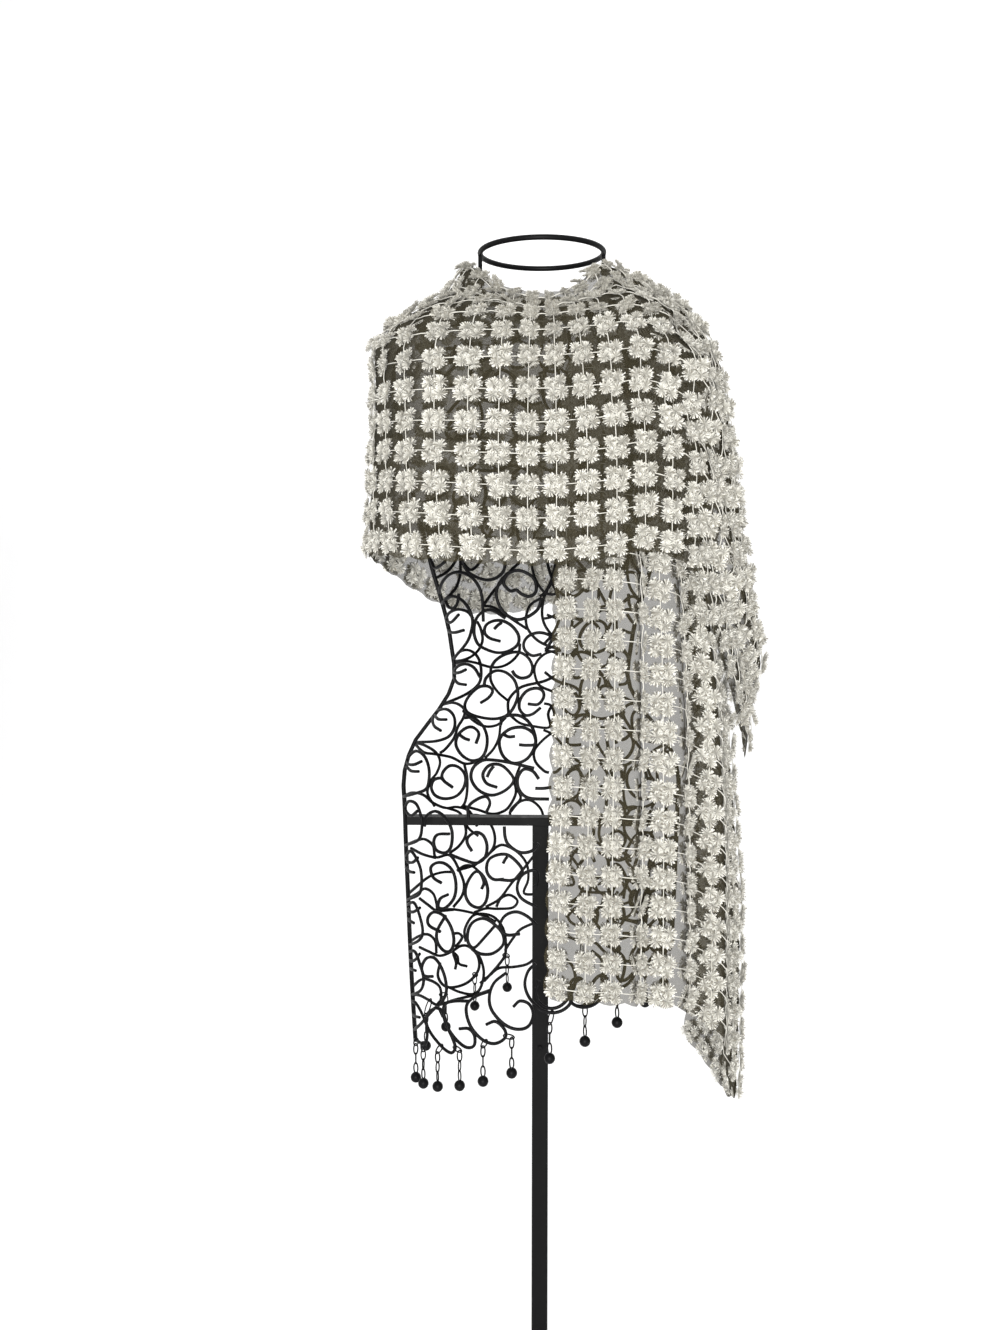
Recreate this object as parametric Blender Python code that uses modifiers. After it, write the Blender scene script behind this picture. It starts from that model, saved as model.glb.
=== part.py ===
"""Lace shawl draped over a limbless wire dress form on a post.

The front faces -Y, the wearer's left is at +X, and Z is up from the underside of the base.
The shawl is one long strip. It is drawn by stations along its length: at each one, seven points
from the hem edge to the neck edge give the distance from the post's axis and the height.
"""
import math

import bmesh
import bpy
from mathutils import Vector

# Shawl, metres
SHAWL_LENGTH = 1.914
CLOTH_WALL = 0.0022
SEAM_HALF_GAP = 0.0004
SEAM_MARGIN = 0.003
CLOTH_STEP = 0.034
CLOTH_COLUMNS = 20

# Dress form and stand, metres
TOUCH_GAP = 0.0004
FRAME_WIRE = 0.0050
PAIR_OFFSET = 0.0028
SCROLL_WALL = 0.0040
RING_DIAMETER = 0.154
RING_WIRE = 0.0065
RING_HEIGHT = 1.550
POST_SIDE = 0.020
HIP_BAR_HEIGHT = 0.865
HIP_BAR_SECTION = (0.020, 0.010)
SCREW_HEIGHT = 0.582
BASE_DIAMETER = 0.340
BASE_THICKNESS = 0.008
DROP_LENGTH = 0.040
BALL_DIAMETER = 0.013
LINK_WIDTH = 0.006

# Height, half width and half depth of the wire form, from the hem up to the neck
FORM_SECTIONS = [
    (0.650, 0.162, 0.114),
    (0.777, 0.167, 0.118),
    (0.874, 0.170, 0.120),
    (0.927, 0.170, 0.116),
    (0.965, 0.156, 0.107),
    (1.000, 0.129, 0.096),
    (1.034, 0.110, 0.088),
    (1.080, 0.112, 0.090),
    (1.192, 0.140, 0.104),
    (1.290, 0.164, 0.113),
    (1.390, 0.180, 0.104),
    (1.430, 0.178, 0.096),
    (1.452, 0.160, 0.090),
    (1.475, 0.118, 0.082),
    (1.495, 0.080, 0.077),
]

# The hem slants: its height on the axis, its rise per metre to the wearer's left, and its rise at the back
HEM_HEIGHT = 0.655
HEM_SLOPE = 0.43
HEM_BACK_RISE = 0.018
SCALLOP_DEPTH = 0.014

# Where the chain drops hang, in degrees from the middle of each half, plus to +X
FRONT_DROPS = (-76, -64, -51, -37, -25, -12, 4, 19, 34, 50, 66)
BACK_DROPS = (-68, -51, -33, -16, 2, 20, 38, 56, 72)

# Places across the shawl where a station gives a radius and a height: 0 is the hem edge, 1 the neck edge
KNOTS = (0.0, 0.30, 0.58, 0.70, 0.80, 0.92, 1.0)

# Place along the shawl, then the angle round the axis in degrees from the front at the hem edge and at
# the neck edge, the bend of the angle between them, the seven radii and the seven heights
STATIONS = [
    # front tail, hanging down the wearer's left
    (0.000, 120, 1, 0.85, (.222, .238, .214, .188, .168, .150, .131), (.552, .517, .660, .678, .681, .683, .684)),
    (0.200, 118, 3, 0.85, (.220, .238, .211, .186, .166, .149, .131), (.780, .730, .862, .877, .881, .883, .884)),
    (0.400, 117, 5, 0.85, (.212, .224, .202, .180, .162, .147, .131), (.995, .942, 1.062, 1.076, 1.081, 1.083, 1.084)),
    (0.560, 116, 6, 0.85, (.202, .205, .189, .172, .157, .144, .130), (1.130, 1.115, 1.216, 1.231, 1.239, 1.243, 1.244)),
    (0.660, 118, 8, 0.85, (.197, .200, .180, .164, .150, .139, .128), (1.180, 1.225, 1.318, 1.330, 1.336, 1.340, 1.342)),
    (0.730, 127, 16, 0.88, (.190, .196, .178, .155, .140, .127, .117), (1.185, 1.300, 1.405, 1.414, 1.417, 1.417, 1.416)),
    # over the wearer's left shoulder and across the back
    (0.800, 146, 42, 0.95, (.158, .178, .184, .163, .140, .112, .093), (1.165, 1.320, 1.438, 1.460, 1.472, 1.487, 1.496)),
    (0.875, 180, 85, 1.00, (.140, .150, .160, .150, .124, .093, .0808), (1.125, 1.270, 1.405, 1.452, 1.482, 1.504, 1.503)),
    (0.990, 225, 140, 1.00, (.150, .142, .136, .124, .105, .087, .0778), (1.118, 1.262, 1.400, 1.455, 1.486, 1.512, 1.500)),
    # round the wearer's right shoulder and across the chest
    (1.150, 270, 225, 1.00, (.208, .199, .187, .155, .120, .091, .0807), (1.185, 1.330, 1.452, 1.480, 1.493, 1.519, 1.508)),
    (1.305, 315, 300, 1.00, (.190, .187, .170, .143, .115, .091, .0807), (1.183, 1.328, 1.448, 1.474, 1.490, 1.523, 1.506)),
    (1.375, 338, 332, 1.00, (.166, .166, .142, .120, .107, .095, .090), (1.178, 1.323, 1.448, 1.472, 1.468, 1.484, 1.495)),
    (1.445, 360, 360, 1.00, (.157, .157, .128, .112, .103, .097, .092), (1.176, 1.321, 1.446, 1.460, 1.440, 1.466, 1.485)),
    (1.510, 383, 380, 1.00, (.166, .166, .140, .119, .106, .098, .092), (1.181, 1.326, 1.450, 1.470, 1.462, 1.482, 1.492)),
    (1.580, 403, 400, 1.00, (.190, .190, .168, .139, .118, .099, .085), (1.190, 1.333, 1.454, 1.480, 1.494, 1.517, 1.510)),
    (1.630, 416, 413, 1.00, (.206, .206, .190, .160, .130, .104, .088), (1.170, 1.312, 1.438, 1.470, 1.490, 1.518, 1.512)),
    # side tail, falling outside the wearer's left shoulder
    (1.710, 426, 428, 1.00, (.220, .221, .211, .200, .178, .138, .104), (1.091, 1.230, 1.360, 1.413, 1.456, 1.487, 1.513)),
    (1.755, 432, 439, 1.00, (.227, .229, .215, .205, .191, .162, .130), (1.052, 1.190, 1.322, 1.378, 1.427, 1.478, 1.491)),
    (1.800, 438, 450, 1.00, (.236, .238, .220, .210, .201, .189, .168), (1.008, 1.148, 1.280, 1.338, 1.386, 1.440, 1.466)),
    (1.914, 450, 474, 1.00, (.251, .268, .240, .224, .212, .201, .194), (.938, 1.070, 1.205, 1.264, 1.314, 1.370, 1.408)),
]

# Soft folds: where each starts and ends along the shawl, its place across, its half width there, and
# how far its crest stands out
FOLDS = [
    (-0.20, 0.78, 0.765, 0.030, 0.007),
    (-0.20, 0.74, 0.500, 0.030, 0.008),
    (-0.20, 0.70, 0.320, 0.035, 0.006),
    (0.74, 1.10, 0.640, 0.040, 0.006),
    (0.84, 1.20, 0.330, 0.060, 0.005),
    (1.02, 1.32, 0.520, 0.045, 0.005),
    (1.46, 1.72, 0.660, 0.040, 0.006),
    (1.52, 1.80, 0.480, 0.045, 0.006),
    (1.60, 2.10, 0.250, 0.050, 0.006),
    (1.66, 2.10, 0.720, 0.045, 0.006),
]

# Each stretch of the shawl that shows, with its start and its end along the strip
STRETCHES = [
    ("shawl_front_tail", 0.0, 0.74),
    ("shawl_back", 0.74, 1.15),
    ("shawl_front_wrap", 1.15, 1.63),
    ("shawl_side_tail", 1.63, SHAWL_LENGTH),
]


def smooth_read(places, values, place):
    """Read a smooth curve through the values at a place between the first and the last."""
    last = len(places) - 1
    i = max(k for k in range(last) if k == 0 or places[k] <= place)

    def slope(k):
        before, after = max(k - 1, 0), min(k + 1, last)
        if 0 < k < last:
            left, right = places[k] - places[k - 1], places[k + 1] - places[k]
            rise_left = (values[k] - values[k - 1]) / left
            rise_right = (values[k + 1] - values[k]) / right
            return (rise_left * right + rise_right * left) / (left + right)
        return (values[after] - values[before]) / (places[after] - places[before])

    span = places[i + 1] - places[i]
    u = (place - places[i]) / span
    return ((2 * u**3 - 3 * u**2 + 1) * values[i] + (u**3 - 2 * u**2 + u) * slope(i) * span
            + (3 * u**2 - 2 * u**3) * values[i + 1] + (u**3 - u**2) * slope(i + 1) * span)


def fold_height(along, across):
    """How far the folds push the cloth out at one place."""
    height = 0.0
    for start, end, centre, half_width, crest in FOLDS:
        if start < along < end:
            fade = math.sin(math.pi * (along - start) / (end - start)) ** 0.5
            height += crest * fade * math.exp(-((across - centre) / half_width) ** 2)
    return height


def cloth_point(along, across):
    """The middle of the cloth at a place along the strip and across it."""
    places = [station[0] for station in STATIONS]

    def read(pick):
        return smooth_read(places, [pick(station) for station in STATIONS], along)

    hem_angle, neck_angle, bend = (read(lambda station, k=k: station[k]) for k in (1, 2, 3))
    radii = [read(lambda station, k=k: station[4][k]) for k in range(len(KNOTS))]
    heights = [read(lambda station, k=k: station[5][k]) for k in range(len(KNOTS))]
    radius = smooth_read(KNOTS, radii, across) + fold_height(along, across)
    angle = math.radians(neck_angle + (hem_angle - neck_angle) * (1 - across) ** bend)
    return Vector((radius * math.sin(angle), -radius * math.cos(angle), smooth_read(KNOTS, heights, across)))


def form_half_sizes(height):
    """Half width and half depth of the wire form at a height."""
    heights = [row[0] for row in FORM_SECTIONS]
    return tuple(smooth_read(heights, [row[k] for row in FORM_SECTIONS], height) for k in (1, 2))


def hem_height(degrees, back):
    """Height of the form's hem at an angle from the middle of its front or back half."""
    drops = BACK_DROPS if back else FRONT_DROPS
    turn = math.radians(degrees)
    nearest = min(abs(degrees - drop) for drop in drops)
    rise_back = HEM_BACK_RISE * math.cos(turn) * (1 if back else -1)
    scallop = SCALLOP_DEPTH * (1 - math.exp(-(nearest / 6) ** 2))
    return HEM_HEIGHT + HEM_SLOPE * FORM_SECTIONS[0][1] * math.sin(turn) + rise_back + scallop


def material(name, colour, roughness, metallic=0.0):
    made = bpy.data.materials.new(name)
    made.use_nodes = True
    shader = made.node_tree.nodes["Principled BSDF"]
    shader.inputs["Base Color"].default_value = (*colour, 1.0)
    shader.inputs["Roughness"].default_value = roughness
    shader.inputs["Metallic"].default_value = metallic
    return made


def add_object(name, mesh, made_of, location=(0, 0, 0)):
    made = bpy.data.objects.new(name, mesh)
    made.location = location
    made.data.materials.clear()
    made.data.materials.append(made_of)
    parts.objects.link(made)
    made.parent = stand_empty
    return made


def sheet_object(name, rows, wall, offset, made_of):
    """A wall of even thickness on an open grid of points."""
    mesh = bpy.data.meshes.new(name)
    grid = bmesh.new()
    corners = [[grid.verts.new(point) for point in row] for row in rows]
    for lower, upper in zip(corners, corners[1:]):
        for k in range(len(lower) - 1):
            grid.faces.new((lower[k], lower[k + 1], upper[k + 1], upper[k]))
    grid.to_mesh(mesh)
    grid.free()
    made = add_object(name, mesh, made_of)
    solidify = made.modifiers.new("wall", "SOLIDIFY")
    solidify.thickness = wall
    solidify.offset = offset
    mesh.shade_smooth()
    return made


def wire_object(name, points, diameter, made_of):
    """A round wire with closed ends along a list of points."""
    curve = bpy.data.curves.new(name, "CURVE")
    curve.dimensions = "3D"
    curve.bevel_depth = diameter / 2
    curve.bevel_resolution = 2
    curve.use_fill_caps = True
    spline = curve.splines.new("POLY")
    spline.points.add(len(points) - 1)
    for place, point in zip(spline.points, points):
        place.co = (*point, 1.0)
    return add_object(name, curve, made_of)


def box_object(name, size, centre, made_of):
    mesh = bpy.data.meshes.new(name)
    block = bmesh.new()
    bmesh.ops.create_cube(block, size=1.0)
    bmesh.ops.scale(block, vec=size, verts=block.verts)
    block.to_mesh(mesh)
    block.free()
    return add_object(name, mesh, made_of, centre)


def turned_object(name, profile, sides, made_of, location=(0, 0, 0)):
    """A profile of radius and height, read down its outer side, turned round Z."""
    mesh = bpy.data.meshes.new(name)
    mesh.from_pydata([(radius, 0, height) for radius, height in profile],
                     [(k, k + 1) for k in range(len(profile) - 1)], [])
    made = add_object(name, mesh, made_of, location)
    turn = made.modifiers.new("turn", "SCREW")
    turn.steps = turn.render_steps = sides
    turn.use_merge_vertices = True
    turn.merge_threshold = 0.00005
    return made


def shawl_stretch(name, start, end, made_of):
    """One stretch of the shawl as a thin wall, drawn back by a hair where it meets the next."""
    count = round((end - start) / CLOTH_STEP)
    stops = [start, start + SEAM_MARGIN]
    stops += [start + (end - start) * i / count for i in range(1, count)]
    stops += [end - SEAM_MARGIN, end]
    rows = [[cloth_point(along, k / CLOTH_COLUMNS) for k in range(CLOTH_COLUMNS + 1)] for along in stops]
    if start > 0:
        rows[0] = [a + (b - a).normalized() * SEAM_HALF_GAP for a, b in zip(rows[0], rows[1])]
    if end < SHAWL_LENGTH:
        rows[-1] = [a + (b - a).normalized() * SEAM_HALF_GAP for a, b in zip(rows[-1], rows[-2])]
    sheet_object(name, rows, CLOTH_WALL, 0.0, made_of)


def half_columns(back):
    """Angles of the columns of one half of the form, with one at each chain drop."""
    edge = math.degrees(math.acos((PAIR_OFFSET + FRAME_WIRE / 2 + TOUCH_GAP) / FORM_SECTIONS[-1][2]))
    stops = [-edge, *(BACK_DROPS if back else FRONT_DROPS), edge]
    columns = [-edge]
    for left, right in zip(stops, stops[1:]):
        columns += [left + (right - left) / 2, right]
    return columns


def form_point(degrees, height, back):
    half_width, half_depth = form_half_sizes(height)
    turn = math.radians(degrees)
    side = 1 if back else -1
    return Vector((half_width * math.sin(turn), side * half_depth * math.cos(turn), height))


def form_half(name, back, made_of):
    """The scrollwork of one half of the form, as a wall of the wire's thickness."""
    columns = half_columns(back)
    rows = [[form_point(turn, hem_height(turn, back), back) for turn in columns]]
    for height, _, _ in FORM_SECTIONS[2:]:
        rows.append([form_point(turn, height, back) for turn in columns])
    middle = []
    for low, high in zip(rows[0], rows[1]):
        height = (low.z + high.z) / 2
        turn = columns[len(middle)]
        middle.append(form_point(turn, height, back))
    rows.insert(1, middle)
    sheet_object(name, rows, SCROLL_WALL, 1.0 if back else -1.0, made_of)


def side_wire(name, side, back, made_of):
    """One of the paired frame wires, from the hem up the side and along the shoulder to the ring."""
    depth = PAIR_OFFSET if back else -PAIR_OFFSET
    low = HEM_HEIGHT + side * HEM_SLOPE * FORM_SECTIONS[0][1]
    heights = [low] + [row[0] for row in FORM_SECTIONS if row[0] > low + 0.02]
    points = []
    for height in heights:
        points.append((side * (form_half_sizes(height)[0] - FRAME_WIRE / 2), depth, height))
    ring_line = RING_DIAMETER / 2 - RING_WIRE / 2
    points.append((side * ring_line, depth, RING_HEIGHT - 0.040))
    points.append((side * ring_line, depth, RING_HEIGHT - RING_WIRE / 2 - TOUCH_GAP - 0.0002))
    wire_object(name, points, FRAME_WIRE, made_of)


def drop_profile():
    """A hanging chain's reach and the ball at its end, down from its top."""
    ball = BALL_DIAMETER / 2
    centre = -DROP_LENGTH + ball
    chain_end = centre + math.sqrt(ball**2 - (LINK_WIDTH / 2) ** 2)
    profile = [(0, 0), (LINK_WIDTH / 2, 0), (LINK_WIDTH / 2, chain_end)]
    start = math.asin(LINK_WIDTH / 2 / ball)
    for k in range(1, 5):
        turn = start + (math.pi - start) * k / 4
        profile.append((ball * math.sin(turn) if k < 4 else 0, centre + ball * math.cos(turn)))
    return profile


def chain_drops(back, made_of):
    for number, degrees in enumerate(BACK_DROPS if back else FRONT_DROPS, 1):
        height = hem_height(degrees, back)
        place = form_point(degrees, height, back)
        inward = Vector((place.x, place.y, 0)).normalized() * (SCROLL_WALL / 2)
        place -= inward + Vector((0, 0, TOUCH_GAP + 0.0002))
        name = f"chain_drop_{'back' if back else 'front'}_{number:02d}"
        turned_object(name, drop_profile(), 8, made_of, place)


def neck_ring(made_of):
    bpy.ops.mesh.primitive_torus_add(major_segments=40, minor_segments=8, minor_radius=RING_WIRE / 2,
                                     major_radius=RING_DIAMETER / 2 - RING_WIRE / 2)
    torus = bpy.context.object
    mesh = torus.data
    bpy.data.objects.remove(torus)
    add_object("neck_ring", mesh, made_of, (0, 0, RING_HEIGHT))


def stand(iron):
    """Hip bar, square post with its lock screw, and the round base."""
    half_width = form_half_sizes(HIP_BAR_HEIGHT)[0] - FRAME_WIRE - TOUCH_GAP
    depth, height = HIP_BAR_SECTION
    box_object("hip_bar", (2 * half_width, depth, height), (0, 0, HIP_BAR_HEIGHT), iron)
    top = HIP_BAR_HEIGHT - height / 2 - TOUCH_GAP
    foot = BASE_THICKNESS + TOUCH_GAP
    box_object("post", (POST_SIDE, POST_SIDE, top - foot), (0, 0, (top + foot) / 2), iron)
    screw = turned_object("lock_screw", [(0, 0.0020), (0.0022, 0.0020), (0.0030, 0.0012), (0.0030, 0), (0, 0)],
                          12, iron, (0, -POST_SIDE / 2 - TOUCH_GAP, SCREW_HEIGHT))
    screw.rotation_euler = (math.pi / 2, 0, 0)
    radius, edge = BASE_DIAMETER / 2, 0.0015
    rim = [(0, BASE_THICKNESS), (radius - edge, BASE_THICKNESS), (radius, BASE_THICKNESS - edge),
           (radius, edge), (radius - edge, 0), (0, 0)]
    turned_object("round_base", rim, 48, iron)


for old in list(bpy.data.objects):
    bpy.data.objects.remove(old)
parts = bpy.data.collections.new("lace_shawl_on_dress_form")
bpy.context.scene.collection.children.link(parts)
stand_empty = bpy.data.objects.new("stand_axis", None)
parts.objects.link(stand_empty)

ivory_lace = material("ivory_lace", (0.70, 0.66, 0.57), 0.85)
black_iron = material("black_iron", (0.012, 0.012, 0.013), 0.42, 0.6)

for stretch_name, stretch_start, stretch_end in STRETCHES:
    shawl_stretch(stretch_name, stretch_start, stretch_end, ivory_lace)
for is_back in (False, True):
    half = "back" if is_back else "front"
    form_half(f"form_{half}_scrollwork", is_back, black_iron)
    for side_name, side_sign in (("left", -1), ("right", 1)):
        side_wire(f"form_{half}_side_wire_{side_name}", side_sign, is_back, black_iron)
    chain_drops(is_back, black_iron)
neck_ring(black_iron)
stand(black_iron)
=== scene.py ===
"""Looks of the lace shawl and of the wire dress form that it hangs on.

The shawl is a strip of fine net. On it sits a square lattice of motifs, each with four fluffy lobes
of cut thread, joined by short cords. All lengths are metres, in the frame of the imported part.
"""
import math

import bmesh
import bpy
import numpy as np
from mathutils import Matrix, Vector


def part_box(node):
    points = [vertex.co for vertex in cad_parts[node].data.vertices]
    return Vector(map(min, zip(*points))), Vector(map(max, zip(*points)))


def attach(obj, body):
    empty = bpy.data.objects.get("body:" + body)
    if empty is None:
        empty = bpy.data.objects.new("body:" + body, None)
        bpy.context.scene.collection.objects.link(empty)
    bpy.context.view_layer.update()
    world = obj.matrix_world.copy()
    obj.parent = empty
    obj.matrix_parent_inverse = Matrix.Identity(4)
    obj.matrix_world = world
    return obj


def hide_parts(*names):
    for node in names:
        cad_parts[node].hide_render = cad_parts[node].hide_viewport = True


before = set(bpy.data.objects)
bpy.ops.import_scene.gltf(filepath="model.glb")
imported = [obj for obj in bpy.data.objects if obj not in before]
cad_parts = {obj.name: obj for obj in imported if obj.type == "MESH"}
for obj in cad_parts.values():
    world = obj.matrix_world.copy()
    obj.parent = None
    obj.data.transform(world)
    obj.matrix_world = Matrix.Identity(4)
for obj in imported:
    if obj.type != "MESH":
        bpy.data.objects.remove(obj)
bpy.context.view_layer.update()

# Shawl: its cut and its square lattice of motifs
SHAWL_LENGTH = 1.914
SHAWL_WIDTH = 0.483
MOTIF_COLUMNS = 14
MOTIF_ROWS = 58
MOTIF_KINDS = 6

# A motif: its four lobes, the threads on its outer and on its inner side, how pale they are, with painted
# shade at their roots and on a share of them, and how far it stands off the net and follows the cloth where
# that is drawn together
LOBE_OFFSET = 0.0061
LOBE_RADIUS = 0.0094
LOBE_THREADS = 84
INNER_THREADS = 46
BACK_INNER_THREADS = 84
CENTRE_THREADS = 24
THREAD_WIDTH = 0.00125
SHADED_SHARE = 0.30
SHADED_ROOT_PALE = 0.38
INNER_DEPTH = 0.0058
MOTIF_RISE = 0.46
MOTIF_LIFT = 0.0014
BUNCHED_LIFT = 0.0015
CLOSEST_MOTIF, WIDEST_MOTIF = 0.50, 1.10
GOLDEN_ANGLE = 2.399963

# The cords between the motifs, and the net under them
CORD_RADIUS = 0.00055
CORD_HEIGHT = 0.0032
NET_STEPS_PER_MOTIF = 4
NET_DIMPLE = 0.0016
SCALLOP = 0.0045

# Where along the strip the end that hangs in front stops, and how far the rows past it are drawn back
HANGING_END = 0.74
ROW_DRIFT = 0.007

# The cloth's face looks away from the post, a little up above this height and a little down below it
SHOULDER_HEIGHT = 1.44
SHOULDER_RISE = 0.10

# Dress form: its wires, its ring and its chain drops
SCROLL_WIRE = 0.0040
FRAME_WIRE = 0.0050
PAIR_OFFSET = 0.0028
SIDE_WIRE_LOW = 0.655
SIDE_WIRE_TILT = 0.43 * 0.162
RING_DIAMETER = 0.154
RING_WIRE = 0.0065
RING_HEIGHT = 1.550
RING_STEM = (0.040, 0.002)
CHAIN_LENGTH = 0.0490
BALL_DIAMETER = 0.013
LINK_LENGTH = 0.0135
LINK_WIDTH = 0.0072
LINK_WIRE = 0.0018
LINK_TURN = 1.15
LINK_IN_BALL = 0.0015

# Camera, from the photograph: its frame, its focal length in its own pixels, where the post and the
# horizon lie in it, and where the camera stands
PHOTO_WIDTH, PHOTO_HEIGHT = 1000, 1330
PHOTO_FOCAL = 1262.0
PHOTO_POST_X = 541.0
PHOTO_HORIZON_Y = 578.0
CAMERA_DISTANCE = 1.540
CAMERA_HEIGHT = 1.163

# Height, half width and half depth of the wire form, from the hem up to the neck
FORM_SECTIONS = [
    (0.580, 0.158, 0.111),
    (0.650, 0.162, 0.114),
    (0.777, 0.167, 0.118),
    (0.874, 0.170, 0.120),
    (0.927, 0.170, 0.116),
    (0.965, 0.156, 0.107),
    (1.000, 0.129, 0.096),
    (1.034, 0.110, 0.088),
    (1.080, 0.112, 0.090),
    (1.192, 0.140, 0.104),
    (1.290, 0.164, 0.113),
    (1.390, 0.180, 0.104),
    (1.430, 0.178, 0.096),
    (1.452, 0.160, 0.090),
    (1.475, 0.118, 0.082),
    (1.495, 0.080, 0.077),
]

# Places across the shawl where a station gives a radius and a height: 0 is the hem edge, 1 the neck edge
KNOTS = (0.0, 0.30, 0.58, 0.70, 0.80, 0.92, 1.0)

# Place along the shawl, then the angle round the post in degrees from the front at the hem edge and at
# the neck edge, the bend of the angle between them, the seven radii and the seven heights
STATIONS = [
    # front tail, hanging down the wearer's left
    (0.000, 120, 1, 0.85,
     (.222, .238, .214, .188, .168, .150, .131), (.552, .517, .660, .678, .681, .683, .684)),
    (0.200, 118, 3, 0.85,
     (.220, .238, .211, .186, .166, .149, .131), (.780, .730, .862, .877, .881, .883, .884)),
    (0.400, 117, 5, 0.85,
     (.212, .224, .202, .180, .162, .147, .131), (.995, .942, 1.062, 1.076, 1.081, 1.083, 1.084)),
    (0.560, 116, 6, 0.85,
     (.202, .205, .189, .172, .157, .144, .130), (1.130, 1.115, 1.216, 1.231, 1.239, 1.243, 1.244)),
    (0.660, 118, 8, 0.85,
     (.197, .200, .180, .164, .150, .139, .128), (1.180, 1.225, 1.318, 1.330, 1.336, 1.340, 1.342)),
    (0.730, 127, 16, 0.88,
     (.190, .196, .178, .155, .140, .127, .117), (1.185, 1.300, 1.405, 1.414, 1.417, 1.417, 1.416)),
    # over the wearer's left shoulder and across the back
    (0.800, 146, 42, 0.95,
     (.158, .178, .184, .163, .140, .112, .093), (1.165, 1.320, 1.438, 1.460, 1.472, 1.487, 1.496)),
    (0.875, 180, 85, 1.00,
     (.140, .150, .160, .150, .124, .093, .0808), (1.125, 1.270, 1.405, 1.452, 1.482, 1.504, 1.503)),
    (0.990, 225, 140, 1.00,
     (.150, .142, .136, .124, .105, .087, .0778), (1.118, 1.262, 1.400, 1.455, 1.486, 1.512, 1.500)),
    # round the wearer's right shoulder and across the chest
    (1.150, 270, 225, 1.00,
     (.208, .199, .187, .155, .120, .091, .0807), (1.185, 1.330, 1.452, 1.480, 1.493, 1.519, 1.508)),
    (1.305, 315, 300, 1.00,
     (.190, .187, .170, .143, .115, .091, .0807), (1.183, 1.328, 1.448, 1.474, 1.490, 1.523, 1.506)),
    (1.375, 338, 332, 1.00,
     (.166, .166, .142, .120, .107, .095, .090), (1.178, 1.323, 1.448, 1.472, 1.468, 1.484, 1.495)),
    (1.445, 360, 360, 1.00,
     (.157, .157, .128, .112, .103, .097, .092), (1.176, 1.321, 1.446, 1.460, 1.440, 1.466, 1.485)),
    (1.510, 383, 380, 1.00,
     (.166, .166, .140, .119, .106, .098, .092), (1.181, 1.326, 1.450, 1.470, 1.462, 1.482, 1.492)),
    (1.580, 403, 400, 1.00,
     (.190, .190, .168, .139, .118, .099, .085), (1.190, 1.333, 1.454, 1.480, 1.494, 1.517, 1.510)),
    (1.630, 416, 413, 1.00,
     (.206, .206, .190, .160, .130, .104, .088), (1.170, 1.312, 1.438, 1.470, 1.490, 1.518, 1.512)),
    # side tail, falling outside the wearer's left shoulder
    (1.710, 426, 428, 1.00,
     (.220, .221, .211, .200, .178, .138, .104), (1.091, 1.230, 1.360, 1.413, 1.456, 1.487, 1.513)),
    (1.755, 432, 439, 1.00,
     (.227, .229, .215, .205, .191, .162, .130), (1.052, 1.190, 1.322, 1.378, 1.427, 1.478, 1.491)),
    (1.800, 438, 450, 1.00,
     (.236, .238, .220, .210, .201, .189, .168), (1.008, 1.148, 1.280, 1.338, 1.386, 1.440, 1.466)),
    (1.914, 450, 474, 1.00,
     (.251, .268, .240, .224, .212, .201, .194), (.938, 1.070, 1.205, 1.264, 1.314, 1.370, 1.408)),
]

# Soft folds: where each starts and ends along the shawl, its place across, its half width there, and
# how far its crest stands out
FOLDS = [
    (-0.20, 0.78, 0.765, 0.030, 0.007),
    (-0.20, 0.74, 0.500, 0.030, 0.008),
    (-0.20, 0.70, 0.320, 0.035, 0.006),
    (0.74, 1.10, 0.640, 0.040, 0.006),
    (0.84, 1.20, 0.330, 0.060, 0.005),
    (1.02, 1.32, 0.520, 0.045, 0.005),
    (1.46, 1.72, 0.660, 0.040, 0.006),
    (1.52, 1.80, 0.480, 0.045, 0.006),
    (1.60, 2.10, 0.250, 0.050, 0.006),
    (1.66, 2.10, 0.720, 0.045, 0.006),
]

# Tighter pleats that turn whole columns of motifs away from the front: start, end, place across, half width
# there, and how far each stands out or, below 0, in
PLEATS = [
    (-0.30, 0.86, 0.716, 0.024, -0.012),
    (-0.30, 0.82, 0.575, 0.024, -0.013),
    (-0.30, 0.80, 0.430, 0.022, -0.010),
    (0.40, 0.90, 0.860, 0.020, -0.006),
    (1.46, 1.80, 0.570, 0.022, -0.008),
    (1.50, 1.84, 0.360, 0.024, -0.009),
    (1.60, 2.20, 0.150, 0.026, -0.010),
]

# Soft creases that run across the strip where it bunches: where each lies along it at the neck edge, how far
# that place moves on towards the hem edge, its half width there, how far it stands out and where it fades out
CREASES = [
    (1.655, 0.006, 0.011, 0.008, 0.10),
    (1.694, -0.010, 0.013, 0.012, 0.15),
    (1.742, -0.014, 0.012, 0.014, 0.00),
    (1.786, -0.012, 0.014, 0.015, 0.10),
    (1.832, 0.004, 0.012, 0.013, 0.00),
    (1.878, 0.010, 0.014, 0.012, 0.20),
]

# Each stretch of the shawl: its node, its start and its end along the strip, and what carries it
STRETCHES = [
    ("shawl_front_tail", 0.0, HANGING_END, "form_front_scrollwork"),
    ("shawl_back", HANGING_END, 1.15, "form_back_side_wire_right"),
    ("shawl_front_wrap", 1.15, 1.63, "form_front_side_wire_left"),
    ("shawl_side_tail", 1.63, SHAWL_LENGTH, "shawl_back"),
]

# Where the wires below were read: the left and the top edge of an enlarged part of the photograph, in the
# photograph's own pixels, and how much it was enlarged; then the points that a wire gets between two marks
WAIST = (390, 540, 5.406)
SKIRT = (390, 800, 5.227)
WIRE_POINTS_PER_STEP = 5

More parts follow.
